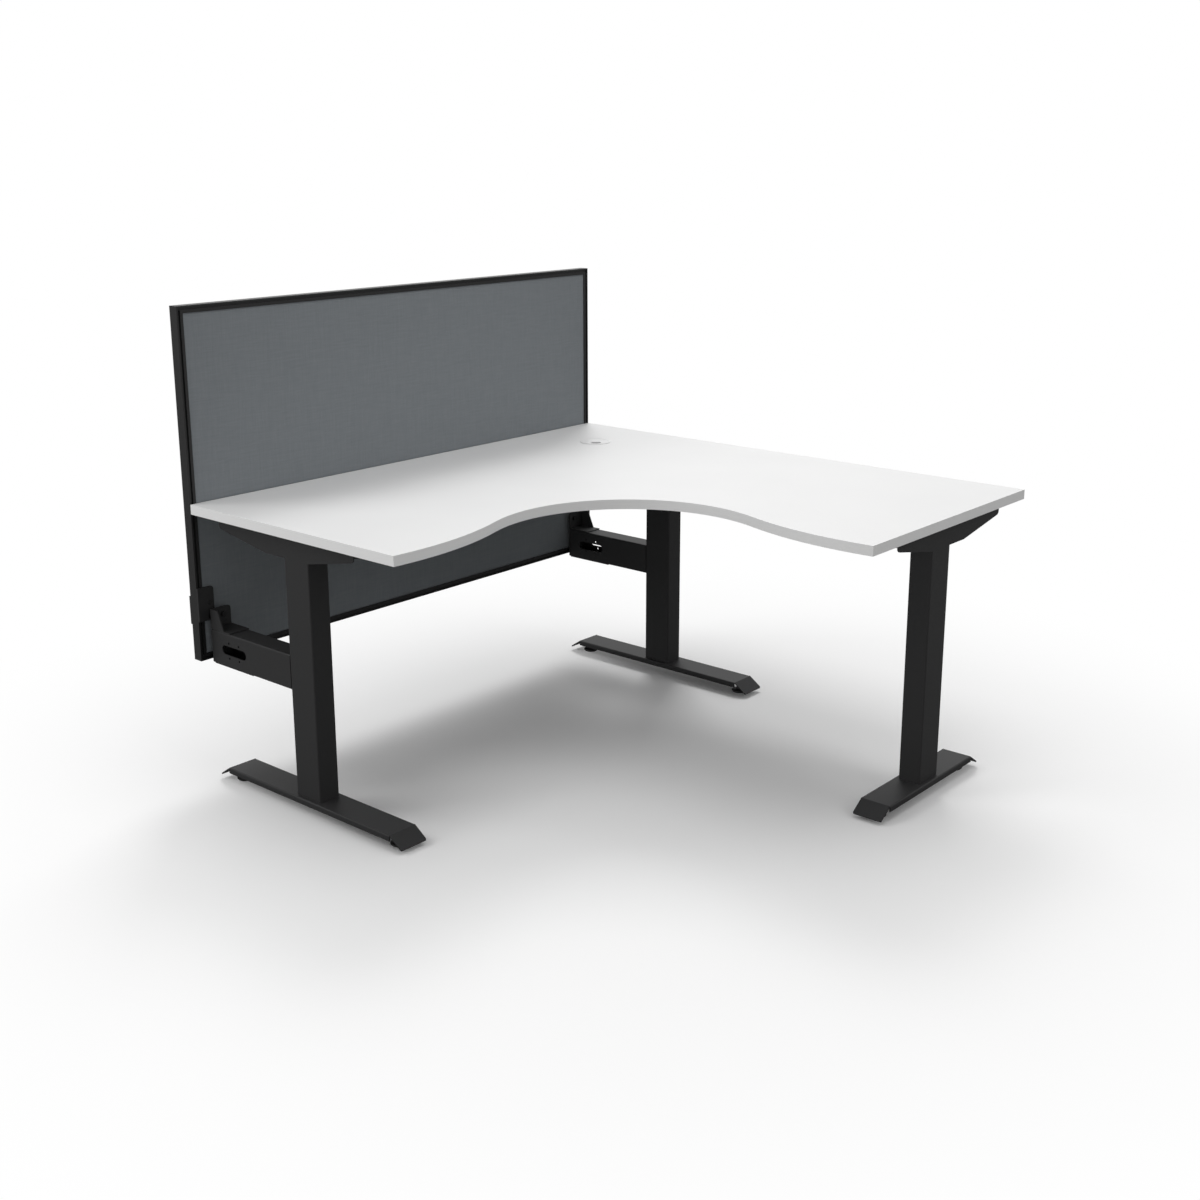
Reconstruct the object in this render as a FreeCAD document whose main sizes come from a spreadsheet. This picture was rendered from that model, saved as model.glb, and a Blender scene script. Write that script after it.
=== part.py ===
import FreeCAD, Part
import Sketcher
import math
import os

# Corner workstation: wave-front corner top on three T-legs, with a fabric screen carried by two arms.
# Lengths are in millimetres. The model's origin is the middle of the object's footprint on the floor.
# Pieces are laid out from the top's back corner: x runs along the right wing, and y is negative along the
# left wing.

doc = FreeCAD.newDocument("corner_workstation")
sheet = doc.addObject("Spreadsheet::Sheet", "Dim")

# Sizes: every number is written once here, and the pieces follow it.
SIZES = [
    ("wing_length", 1500, "back edge of each wing, from the back corner to the wing's end"),
    ("wing_depth", 750, "depth of each wing at its end"),
    ("waist_dip", 75, "how far each wing narrows beside the inner corner"),
    ("bulge_swell", 3, "how far each wing widens towards its end"),
    ("bulge_back", 80, "end of a wing to its widest point"),
    ("bulge_share", 0.68, "part of the wave's two curves that the outward curve takes"),
    ("corner_radius", 325, "inner corner of the front edge"),
    ("desk_height", 730, "floor to the top's upper face"),
    ("top_thick", 25, "thickness of the top"),
    ("band_thick", 2, "edge band round the top"),
    ("grommet_reach", 227, "back edges to the middle of the grommet"),
    ("grommet_hole", 80, "hole in the top for the grommet"),
    ("rim_dia", 92, "rim of the grommet liner"),
    ("rim_thick", 2.5, "height of the rim above the top"),
    ("liner_wall", 2, "wall of the liner's sleeve"),
    ("liner_play", 0.2, "gap between the sleeve and the hole in the top, on the radius"),
    ("liner_deep", 20, "length of the sleeve below the top's upper face"),
    ("ledge_deep", 1.5, "depth of the cap's seat below the top's upper face"),
    ("ledge_wide", 4, "width of the cap's seat"),
    ("ledge_thick", 2.5, "thickness of the cap's seat"),
    ("cap_play", 0.1, "gap between the cap and its seat, on the radius"),
    ("cap_thick", 3.5, "thickness of the cap"),
    ("notch_deep", 24, "cable notch in the cap, from its edge inwards"),
    ("notch_wide", 30, "cable notch in the cap, across"),
    ("notch_round", 6, "inner corners of the cable notch"),
    ("leg_setback", 372, "back edge of the left wing to the middle of its columns"),
    ("right_setback", 380, "back edge of the right wing to the middle of the column at its end"),
    ("end_inset", 58, "end of a wing to the middle of the leg under it"),
    ("corner_inset", 78, "back edge of the right wing to the middle of the leg near the corner"),
    ("foot_wide", 84, "width of each foot"),
    ("foot_long", 615, "flat top of the two long feet"),
    ("foot_short", 411, "flat top of the short foot"),
    ("foot_top", 40, "floor to the flat top of a foot"),
    ("foot_skirt", 15, "height of a foot's side flange"),
    ("foot_sheet", 3, "sheet of a foot"),
    ("foot_bend", 4, "outside bend of a foot's sides"),
    ("flap_run", 40, "length of a foot's sloped end, seen from above"),
    ("flap_fall", 27, "fall of a foot's sloped end"),
    ("flap_round", 9, "corners of a foot's sloped end, seen from above"),
    ("tube_deep", 89, "long side of the column and arm tube"),
    ("tube_wide", 60, "short side of the column and arm tube"),
    ("tube_wall", 2.5, "wall of the tube"),
    ("tube_round", 4, "outside corner of the tube"),
    ("bracket_drop", 60, "depth of a leg's top bracket at its column"),
    ("bracket_front", 209, "column middle to the bracket's front tip"),
    ("bracket_rear", 297, "column middle to the bracket's rear tip"),
    ("bracket_level", 115, "column middle to where the rear arm of the bracket starts to taper"),
    ("bracket_tip", 30, "depth of the bracket at its tips"),
    ("bracket_round", 11, "rounded lower corner of the bracket's tips"),
    ("bracket_sheet", 3, "sheet of the bracket"),
    ("screw_inset", 30, "bracket tip to its nearest screw"),
    ("screw_step", 92, "distance between the two screws of one bracket arm"),
    ("screw_dia", 5, "shank of a bracket screw"),
    ("screw_head", 11, "head of a bracket screw"),
    ("screw_head_high", 3, "height of a bracket screw's head"),
    ("screw_bite", 17, "length of a bracket screw inside the board"),
    ("hole_play", 0.2, "gap round a screw or bolt in its hole, on the radius"),
    ("glide_inset", 11.5, "end of a foot's flat top to the middle of a glide"),
    ("glide_dia", 44, "disc of a glide"),
    ("glide_base_dia", 38, "face of a glide on the floor"),
    ("glide_high", 10, "height of a glide's disc"),
    ("glide_collar", 16, "collar above the disc"),
    ("glide_collar_high", 5, "height of the collar"),
    ("stud_dia", 10, "stud of a glide"),
    ("stud_gap", 1, "stud end to the underside of the foot's top"),
    ("stud_play", 0.06, "gap between stud and nut, on the radius"),
    ("nut_flats", 17, "glide nut across its flats"),
    ("nut_high", 15, "height of a glide nut"),
    ("arm_top_height", 402, "floor to the top of the screen arms"),
    ("arm_end", 11, "back edge of the left wing to the cap on an arm's end"),
    ("end_plate", 3, "plate of the cap on an arm's end"),
    ("plug_deep", 10, "plug of that cap inside the arm"),
    ("plug_play", 0.1, "gap between that plug and the arm"),
    ("slot_middle", 102, "back edge of the left wing to the middle of the arm's cable slot"),
    ("slot_long", 98, "cable slot, length"),
    ("slot_high", 24, "cable slot, height"),
    ("slot_hole_dia", 6, "small holes round the cable slot"),
    ("slot_hole_step", 40, "small holes, distance along the arm"),
    ("slot_hole_rise", 40, "small holes, distance up the arm"),
    ("base_long", 157, "length of the strip under an arm"),
    ("base_thick", 2.5, "thickness of the strip under an arm"),
    ("angle_long", 77, "plate of the arm angle, along the arm"),
    ("angle_high", 53, "upright of the arm angle"),
    ("angle_sheet", 3, "sheet of the arm angle"),
    ("angle_round", 10, "rounded upper corner of the upright"),
    ("gusset_low", 53, "foot of the gusset, from the end of the arm"),
    ("gusset_high", 30, "head of the gusset, from the end of the arm"),
    ("arm_screw_dia", 5, "shank of an arm screw"),
    ("arm_screw_head", 9.5, "head of an arm screw"),
    ("arm_screw_high", 2.5, "height of an arm screw's head"),
    ("arm_screw_tail", 3, "arm screw past the inside of the tube"),
    ("arm_screw_first", 22, "end of a plate to its first screw"),
    ("base_screw_step", 120, "distance between the screws of the strip under an arm"),
    ("screen_gap", 1, "gap between the screen and the top's back edge"),
    ("screen_deep", 28, "depth of the screen's frame"),
    ("screen_low", 319, "floor to the bottom of the screen"),
    ("screen_high", 900, "height of the screen"),
    ("face_wide", 18, "face of the screen's frame"),
    ("face_rim", 4, "outer rim of the frame's face"),
    ("face_groove", 6, "groove in the frame's face"),
    ("groove_deep", 4, "depth of that groove"),
    ("lip_thick", 2, "lip that holds the panel"),
    ("lip_grip", 6, "overlap of lip and panel"),
    ("bar_wall", 2.5, "wall of the frame's hollow"),
    ("key_play", 0.1, "gap between corner key and hollow"),
    ("key_leg", 60, "leg of a corner key"),
    ("panel_play", 0.5, "gap between the panel's edge and the frame"),
    ("fabric_thick", 1, "fabric on each face of the core"),
    ("clamp_wide", 47, "clamp plates, width"),
    ("clamp_thick", 5, "clamp plates, thickness"),
    ("front_plate_low", 424, "floor to the bottom of a front clamp plate"),
    ("front_plate_high", 88, "front clamp plate, height"),
    ("rear_plate_low", 413, "floor to the bottom of a rear clamp plate"),
    ("rear_plate_high", 74, "rear clamp plate, height"),
    ("plate_round", 8, "rounded upper corner of the clamp plates"),
    ("clamp_bolt_inset", 34, "end of the screen to the clamp bolts"),
    ("clamp_bolt_low", 434, "floor to the lower clamp bolt"),
    ("clamp_bolt_step", 36, "distance between the two clamp bolts"),
    ("bolt_dia", 8, "shank of the clamp and angle bolts"),
    ("bolt_head", 14, "head of those bolts"),
    ("clamp_head_high", 3, "height of a clamp bolt's head, sunk flush into the front plate"),
    ("bolt_head_high", 4.5, "height of an angle bolt's head"),
    ("bolt_nut_flats", 13, "clamp nut across its flats"),
    ("bolt_nut_high", 6.5, "height of a clamp nut"),
    ("bolt_tail", 1.5, "clamp bolt past its nut"),
    ("angle_bolt_rise", 32, "top of the arm to the angle bolt"),
    ("angle_bolt_shift", 8, "middle of the arm to the angle bolt, away from the screen's end"),
    ("spacer_dia", 18, "spacer between upright and screen"),
    ("insert_dia", 12, "threaded insert in the screen's core"),
    ("insert_long", 20, "length of the insert"),
]
for row, (name, size, note) in enumerate(SIZES, 1):
    sheet.set("A%d" % row, note)
    sheet.set("B%d" % row, str(size))
    sheet.setAlias("B%d" % row, name)
sheet.recompute()

worked = {}


def cell(formula):
    """Name of the sheet cell that works out a formula; one formula has one cell."""
    formula = str(formula)
    if formula not in worked:
        row = len(worked) + 1
        name = "work_%d" % row
        sheet.set("D%d" % row, "=" + formula)
        sheet.setAlias("D%d" % row, name)
        sheet.recompute()
        worked[formula] = name
    return worked[formula]


def number(formula):
    return float(sheet.get(cell(formula)))


def bind(thing, prop, formula):
    thing.setExpression(prop, "Dim." + cell(formula))


# Values shared by several pieces, as formulas on the sheet.
def shared(name, formula):
    row = len(SIZES) + 3 + len(SHARED)
    sheet.set("A%d" % row, name)
    sheet.set("B%d" % row, "=" + formula)
    sheet.setAlias("B%d" % row, name)
    sheet.recompute()
    SHARED.append(name)


SHARED = []
shared("top_under", "desk_height - top_thick")
shared("column_top", "top_under - bracket_drop")
shared("arm_low", "arm_top_height - tube_deep")
shared("arm_start", "arm_end + end_plate")
shared("screen_front", "0 - screen_gap")
shared("screen_back", "screen_front - screen_deep")
shared("panel_front", "screen_front - lip_thick")
shared("panel_back", "screen_back + lip_thick")
shared("reach_back", "clamp_thick + bolt_nut_high + bolt_tail - screen_back")
shared("middle_x", "(wing_length - reach_back) / 2")
shared("middle_y", "wing_length / 2")
shared("waist_depth", "wing_depth - waist_dip")
shared("bulge_depth", "wing_depth + bulge_swell")
shared("corner_middle", "waist_depth + corner_radius")
shared("bulge_peak", "wing_length - bulge_back")
shared("end_radius", "(bulge_back^2 + bulge_swell^2) / (2 * bulge_swell)")
shared("wave_rise", "bulge_depth - waist_depth")
shared("wave_run", "bulge_peak - corner_middle")
shared("wave_radii", "(wave_run^2 + wave_rise^2) / (2 * wave_rise)")
shared("bulge_radius", "bulge_share * wave_radii")
shared("waist_radius", "wave_radii - bulge_radius")
shared("liner_radius", "grommet_hole / 2 - liner_play")
shared("seat_radius", "liner_radius - liner_wall")
shared("seat_height", "desk_height - ledge_deep")


def place(thing, x, y, z, turn=None):
    """Put a piece at a point counted from the top's back corner and the floor."""
    if turn is not None:
        thing.Placement = FreeCAD.Placement(FreeCAD.Vector(), turn)
    bind(thing, "Placement.Base.x", "%s - middle_x" % x)
    bind(thing, "Placement.Base.y", "%s + middle_y" % y)
    bind(thing, "Placement.Base.z", z)


def axes(x, y, z):
    """Rotation that lays a piece's own axes along three directions."""
    return FreeCAD.Rotation(FreeCAD.Vector(*x), FreeCAD.Vector(*y), FreeCAD.Vector(*z), "XYZ")


def body(label):
    made = doc.addObject("PartDesign::Body", "body_" + label)
    made.Label = label
    return made


def sketch(owner, plane, offset=None):
    made = doc.addObject("Sketcher::SketchObject", "sketch")
    owner.addObject(made)
    support = [f for f in owner.Origin.OriginFeatures if f.Role == plane][0]
    made.AttachmentSupport = [(support, "")]
    made.MapMode = "FlatFace"
    if offset is not None:
        bind(made, "AttachmentOffset.Base.z", offset)
    return made


def fix(drawing, geometry, point, x, y):
    """Tie one point of a drawing to two formulas."""
    for kind, formula in (("DistanceX", x), ("DistanceY", y)):
        index = drawing.addConstraint(Sketcher.Constraint(kind, geometry, point, number(formula)))
        bind(drawing, "Constraints[%d]" % index, formula)


def loop(drawing, steps):
    """Closed outline. Each step is (x, y) or (x, y, radius, side): the way on from that point is then an arc
    that turns to that side."""
    spots = [FreeCAD.Vector(number(s[0]), number(s[1]), 0) for s in steps]
    made = []
    for i, step in enumerate(steps):
        here, there = spots[i], spots[(i + 1) % len(steps)]
        if len(step) == 2:
            made.append((drawing.addGeometry(Part.LineSegment(here, there), False), 1, 2))
            continue
        radius, left = number(step[2]), step[3] == "left"
        chord = there - here
        normal = FreeCAD.Vector(-chord.y, chord.x, 0).normalize()
        rise = math.sqrt(max(radius ** 2 - chord.Length ** 2 / 4, 0))
        middle = (here + there) * 0.5 + normal * (rise if left else -rise)
        first, last = (here, there) if left else (there, here)
        begin = math.atan2(first.y - middle.y, first.x - middle.x)
        end = math.atan2(last.y - middle.y, last.x - middle.x)
        circle = Part.Circle(middle, FreeCAD.Vector(0, 0, 1), radius)
        index = drawing.addGeometry(Part.ArcOfCircle(circle, begin, end), False)
        made.append((index, 1, 2) if left else (index, 2, 1))
    for i, (index, begin, end) in enumerate(made):
        after = made[(i + 1) % len(made)]
        drawing.addConstraint(Sketcher.Constraint("Coincident", index, end, after[0], after[1]))
    for i, (index, begin, end) in enumerate(made):
        fix(drawing, index, begin, steps[i][0], steps[i][1])
        if len(steps[i]) > 2:
            row = drawing.addConstraint(Sketcher.Constraint("Radius", index, number(steps[i][2])))
            bind(drawing, "Constraints[%d]" % row, steps[i][2])


def ring(drawing, x, y, radius):
    middle = FreeCAD.Vector(number(x), number(y), 0)
    circle = Part.Circle(middle, FreeCAD.Vector(0, 0, 1), number(radius))
    index = drawing.addGeometry(circle, False)
    fix(drawing, index, 3, x, y)
    row = drawing.addConstraint(Sketcher.Constraint("Radius", index, number(radius)))
    bind(drawing, "Constraints[%d]" % row, radius)


def oblong(x0, y0, x1, y1, round_by):
    """Outline of a rectangle with four rounded corners."""
    low_x, low_y = "%s + %s" % (x0, round_by), "%s + %s" % (y0, round_by)
    high_x, high_y = "%s - %s" % (x1, round_by), "%s - %s" % (y1, round_by)
    return [
        (low_x, y0), (high_x, y0, round_by, "left"),
        (x1, low_y), (x1, high_y, round_by, "left"),
        (high_x, y1), (low_x, y1, round_by, "left"),
        (x0, high_y), (x0, low_y, round_by, "left"),
    ]


def slot(x, y, straight, end):
    """Outline of a round-ended slot, long along the drawing's second direction."""
    return [
        ("%s + %s" % (x, end), "%s - %s" % (y, straight)),
        ("%s + %s" % (x, end), "%s + %s" % (y, straight), end, "left"),
        (x, "%s + %s + %s" % (y, straight, end), end, "left"),
        ("%s - %s" % (x, end), "%s + %s" % (y, straight)),
        ("%s - %s" % (x, end), "%s - %s" % (y, straight), end, "left"),
        (x, "%s - %s - %s" % (y, straight, end), end, "left"),
    ]


def pad(owner, drawing, length, symmetric=False, back=False):
    made = owner.newObject("PartDesign::Pad", "pad")
    made.Profile = drawing
    bind(made, "Length", length)
    made.SideType = "Symmetric" if symmetric else "One side"
    made.Reversed = back
    return made


def pocket(owner, drawing, length):
    """Cut a drawing out of a body, half of the length to each side of its plane."""
    made = owner.newObject("PartDesign::Pocket", "pocket")
    made.Profile = drawing
    bind(made, "Length", length)
    made.SideType = "Symmetric"
    return made


def lathe(owner, drawing):
    """Turn a drawing on the upright plane round the body's own z axis."""
    made = owner.newObject("PartDesign::Revolution", "turned")
    made.Profile = drawing
    made.ReferenceAxis = (drawing, ["V_Axis"])
    made.Angle = 360
    return made


def block(label, length, width, height):
    made = doc.addObject("Part::Box", "block_" + label)
    made.Label = label
    for prop, formula in (("Length", length), ("Width", width), ("Height", height)):
        bind(made, prop, formula)
    return made


def rod(label, radius, height):
    made = doc.addObject("Part::Cylinder", "rod_" + label)
    made.Label = label
    bind(made, "Radius", radius)
    bind(made, "Height", height)
    return made


def hexagon(label, flats, height):
    made = doc.addObject("Part::Prism", "prism_" + label)
    made.Label = label
    made.Polygon = 6
    bind(made, "Circumradius", "%s / sqrt(3)" % flats)
    bind(made, "Height", height)
    return made


def join(label, pieces):
    made = doc.addObject("Part::MultiFuse", "joined_" + label)
    made.Label = label
    made.Shapes = pieces
    return made


def take(label, base, tools):
    made = doc.addObject("Part::Cut", "cut_" + label)
    made.Label = label
    made.Base = base
    made.Tool = tools[0] if len(tools) == 1 else join(label + "_tools", tools)
    return made


def group(label, pieces):
    made = doc.addObject("Part::Compound", "group_" + label)
    made.Label = label
    made.Links = pieces
    return made


nodes = []

ALONG_X = axes((0, 0, -1), (0, 1, 0), (1, 0, 0))
AGAINST_X = axes((0, 0, 1), (0, 1, 0), (-1, 0, 0))
LYING = axes((0, 1, 0), (0, 0, 1), (1, 0, 0))
QUARTER = FreeCAD.Rotation(FreeCAD.Vector(0, 0, 1), -90)


# The top. Its outline is drawn in the quarter where both coordinates are positive, then turned into place.
def wave(inset):
    """Outline of the top, drawn a given distance inside its edge: each wing's front edge leaves its end in an
    outward curve, passes the widest point, turns inwards and runs into the inner corner without a kink."""
    far = "wing_length - %s" % inset
    rounding = "end_radius - %s" % inset
    end = "bulge_depth - end_radius + sqrt((%s)^2 - (bulge_back - %s)^2)" % (rounding, inset)
    wide = "bulge_depth - %s" % inset
    bulge = "bulge_radius - %s" % inset
    share = "(%s) / wave_radii" % bulge
    turn_u = "bulge_peak - wave_run * %s" % share
    turn_v = "bulge_depth - bulge_radius + (wave_radii - wave_rise) * %s" % share
    waist = "waist_radius + %s" % inset
    corner = "corner_radius + %s" % inset
    low = "waist_depth - %s" % inset
    return [
        (inset, inset), (far, inset),
        (far, end, rounding, "left"), ("bulge_peak", wide, bulge, "left"), (turn_u, turn_v, waist, "right"),
        ("corner_middle", low, corner, "right"), (low, "corner_middle", waist, "right"),
        (turn_v, turn_u, bulge, "left"), (wide, "bulge_peak", rounding, "left"), (end, far),
        (inset, far),
    ]


LEGS = {
    "a": ("leg_setback", "end_inset - wing_length", "foot_long", None),
    "b": ("leg_setback", "0 - corner_inset", "foot_long", None),
    "c": ("wing_length - end_inset", "0 - right_setback", "foot_short", QUARTER),
}
SCREW_OFFSETS = [
    "bracket_front - screw_inset", "bracket_front - screw_inset - screw_step",
    "screw_inset - bracket_rear", "screw_inset + screw_step - bracket_rear",
]


def along(leg, distance):
    """Point at a distance in front of a leg's column."""
    x, y, length, turn = LEGS[leg]
    return ("%s + %s" % (x, distance), y) if turn is None else (x, "%s - (%s)" % (y, distance))


top = body("top_board")
face = sketch(top, "XY_Plane")
loop(face, wave("band_thick"))
ring(face, "grommet_reach", "grommet_reach", "grommet_hole / 2")
pad(top, face, "top_thick")
pilot = sketch(top, "XY_Plane")
for leg in LEGS:
    for offset in SCREW_OFFSETS:
        px, py = along(leg, offset)
        ring(pilot, "0 - (%s)" % py, px, "screw_dia / 2 + stud_play")
pocket(top, pilot, "2 * screw_bite")
place(top, "0", "0", "top_under", QUARTER)
nodes.append(top)

band = body("top_edge_band")
face = sketch(band, "XY_Plane")
loop(face, wave("0"))
loop(face, wave("band_thick"))
pad(band, face, "top_thick")
place(band, "0", "0", "top_under", QUARTER)
nodes.append(band)

# Grommet: a flanged liner pressed into the top, and a cap that turns on the liner's seat.
liner = body("grommet_liner")
face = sketch(liner, "XZ_Plane")
loop(face, [
    ("liner_radius", "0 - liner_deep"), ("liner_radius", "0"), ("rim_dia / 2", "0"),
    ("rim_dia / 2", "rim_thick * 0.7"), ("rim_dia / 2 - rim_thick / 2", "rim_thick"),
    ("seat_radius", "rim_thick"), ("seat_radius", "0 - ledge_deep"),
    ("seat_radius - ledge_wide", "0 - ledge_deep"),
    ("seat_radius - ledge_wide", "0 - ledge_deep - ledge_thick"),
    ("seat_radius", "0 - ledge_deep - 2 * ledge_thick"), ("seat_radius", "0 - liner_deep"),
])
lathe(liner, face)
place(liner, "grommet_reach", "0 - grommet_reach", "desk_height")
nodes.append(liner)

cap = body("grommet_cap")
face = sketch(cap, "XY_Plane")
ring(face, "0", "0", "seat_radius - cap_play")
pad(cap, face, "cap_thick")
notch = sketch(cap, "XY_Plane")
notch_end = "seat_radius - cap_play - notch_deep"
loop(notch, oblong(notch_end, "0 - notch_wide / 2", "2 * seat_radius", "notch_wide / 2", "notch_round"))
pocket(cap, notch, "3 * cap_thick")
place(cap, "grommet_reach", "0 - grommet_reach", "seat_height",
      FreeCAD.Rotation(FreeCAD.Vector(0, 0, 1), -45))
nodes.append(cap)


def tube_section(drawing, half_x, half_y):
    loop(drawing, oblong("0 - " + half_x, "0 - " + half_y, half_x, half_y, "tube_round"))
    inner_x, inner_y = "(%s - tube_wall)" % half_x, "(%s - tube_wall)" % half_y
    inner_round = "(tube_round - tube_wall)"
    loop(drawing, oblong("0 - " + inner_x, "0 - " + inner_y, inner_x, inner_y, inner_round))


# Legs. Each is drawn with its foot along x, front to the right, and its column at the middle.
glide_nuts = []
bracket_screws = []
for leg, (leg_x, leg_y, foot_length, turn) in LEGS.items():
    # Foot: flat top with two short sides, and a sloped flap of the same sheet at each end.
    foot = body("leg_%s_foot" % leg)
    half, bend = "foot_wide / 2", "foot_bend"
    section = sketch(foot, "YZ_Plane")
    inside = "(foot_wide / 2 - foot_sheet)"
    tuck = "(foot_bend - foot_sheet)"
    skirt, under = "foot_top - foot_skirt", "foot_top - foot_sheet"
    loop(section, [
        ("0 - " + half, skirt), ("0 - " + inside, skirt),
        ("0 - " + inside, "%s - %s" % (under, tuck), tuck, "right"), ("%s - %s" % (tuck, inside), under),
        ("%s - %s" % (inside, tuck), under, tuck, "right"), (inside, "%s - %s" % (under, tuck)),
        (inside, skirt), (half, skirt), (half, "foot_top - foot_bend", bend, "left"),
        ("%s - %s" % (half, bend), "foot_top"), ("foot_bend - foot_wide / 2", "foot_top", bend, "left"),
        ("0 - " + half, "foot_top - foot_bend"),
    ])
    pad(foot, section, foot_length, symmetric=True)
    flap = sketch(foot, "XZ_Plane")
    slope = "sqrt(flap_run^2 + flap_fall^2)"
    shift_x, shift_z = "foot_sheet * flap_fall / " + slope, "foot_sheet * flap_run / " + slope
    for sign in ("", "-1 * "):
        end = "%s / 2" % foot_length
        back = "foot_bend"
        corner = "%s - foot_sheet * (%s - flap_run) / flap_fall" % (end, slope)
        outline = [
            ("%s(%s - %s)" % (sign, end, back), "foot_top - foot_sheet"), ("%s(%s)" % (sign, corner), under),
            ("%s(%s + flap_run - %s)" % (sign, end, shift_x), "foot_top - flap_fall - " + shift_z),
            ("%s(%s + flap_run)" % (sign, end), "foot_top - flap_fall"),
            ("%s(%s)" % (sign, end), "foot_top"), ("%s(%s - %s)" % (sign, end, back), "foot_top"),
        ]
        loop(flap, outline)
    pad(foot, flap, "foot_wide - foot_bend", symmetric=True)
    plan = sketch(foot, "XY_Plane")
    reach = "(%s / 2 + flap_run)" % foot_length
    wide = "(%s / 2 + 2 * flap_run)" % foot_length
    loop(plan, [("0 - " + wide, "0 - foot_wide"), (wide, "0 - foot_wide"), (wide, "foot_wide"),
                ("0 - " + wide, "foot_wide")])
    loop(plan, oblong("0 - " + reach, "0 - " + half, reach, half, "flap_round"))
    pocket(foot, plan, "3 * foot_top")
    place(foot, leg_x, leg_y, "0", turn)
    nodes.append(foot)

    # Column: plain rectangular tube from the foot to the bracket.
    column = body("leg_%s_column" % leg)
    section = sketch(column, "XY_Plane")
    tube_section(section, "tube_deep / 2", "tube_wide / 2")
    pad(column, section, "column_top - foot_top")
    place(column, leg_x, leg_y, "foot_top", turn)
    nodes.append(column)

    # Top bracket: folded channel, open below, whose sides taper from the column to both tips.
    bracket = body("leg_%s_bracket" % leg)
    side = sketch(bracket, "XZ_Plane")
    tip_front, tip_rear = "bracket_front", "0 - bracket_rear"
    cut = "bracket_round * 0.75"
    loop(side, [
        (tip_rear, "0"), (tip_rear, "%s - bracket_tip" % cut, "bracket_round", "left"),
        ("%s + %s" % (tip_rear, cut), "0 - bracket_tip"), ("0 - bracket_level", "0 - bracket_drop"),
        ("tube_deep / 2", "0 - bracket_drop"),
        ("%s - %s" % (tip_front, cut), "0 - bracket_tip", "bracket_round", "left"),
        (tip_front, "%s - bracket_tip" % cut), (tip_front, "0"),
    ])
    pad(bracket, side, "tube_wide", symmetric=True)
    hollow = sketch(bracket, "XZ_Plane")
    loop(hollow, [
        ("0 - 2 * bracket_rear", "0 - 2 * bracket_drop"), ("2 * bracket_front", "0 - 2 * bracket_drop"),
        ("2 * bracket_front", "0 - bracket_sheet"), ("0 - 2 * bracket_rear", "0 - bracket_sheet"),
    ])
    pocket(bracket, hollow, "tube_wide - 2 * bracket_sheet")
    holes = sketch(bracket, "XY_Plane")
    for offset in SCREW_OFFSETS:
        ring(holes, offset, "0", "screw_dia / 2 + hole_play")
    pocket(bracket, holes, "4 * bracket_sheet")
    place(bracket, leg_x, leg_y, "top_under", turn)
    nodes.append(bracket)

    for count, offset in enumerate(SCREW_OFFSETS):
        x, y = along(leg, offset)
        label = "bracket_screw_%s%d" % (leg, count)
        shank = rod(label + "_shank", "screw_dia / 2", "bracket_sheet + screw_bite")
        place(shank, x, y, "top_under - bracket_sheet")
        head = rod(label + "_head", "screw_head / 2", "screw_head_high")
        place(head, x, y, "top_under - bracket_sheet - screw_head_high")
        bracket_screws.append(join(label, [shank, head]))

    # Glides: one near each end of the foot, screwed into a nut under the foot's top.
    for end_name, sign in (("front", ""), ("rear", "-1 * ")):
        x, y = along(leg, "%s(%s / 2 - glide_inset)" % (sign, foot_length))
        glide = body("glide_%s_%s" % (leg, end_name))
        shape = sketch(glide, "XZ_Plane")
        collar_top = "glide_high + glide_collar_high"
        loop(shape, [
            ("0", "0"), ("glide_base_dia / 2", "0"), ("glide_dia / 2", "glide_high / 3"),
            ("glide_dia / 2", "glide_high * 0.65"), ("glide_collar / 2", "glide_high"),
            ("glide_collar / 2", collar_top), ("stud_dia / 2", collar_top),
            ("stud_dia / 2", "foot_top - foot_sheet - stud_gap"), ("0", "foot_top - foot_sheet - stud_gap"),
        ])
        lathe(glide, shape)
        place(glide, x, y, "0")
        nodes.append(glide)
        label = "glide_nut_%s_%s" % (leg, end_name)
        nut = hexagon(label + "_hex", "nut_flats", "nut_high")
        place(nut, x, y, "foot_top - foot_sheet - nut_high")
        thread = rod(label + "_thread", "stud_dia / 2 + stud_play", "3 * nut_high")
        place(thread, x, y, "foot_top - foot_sheet - 2 * nut_high")
        glide_nuts.append(take(label, nut, [thread]))

nodes.append(group("glide_nuts", glide_nuts))
nodes.append(group("bracket_screws", bracket_screws))

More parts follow.
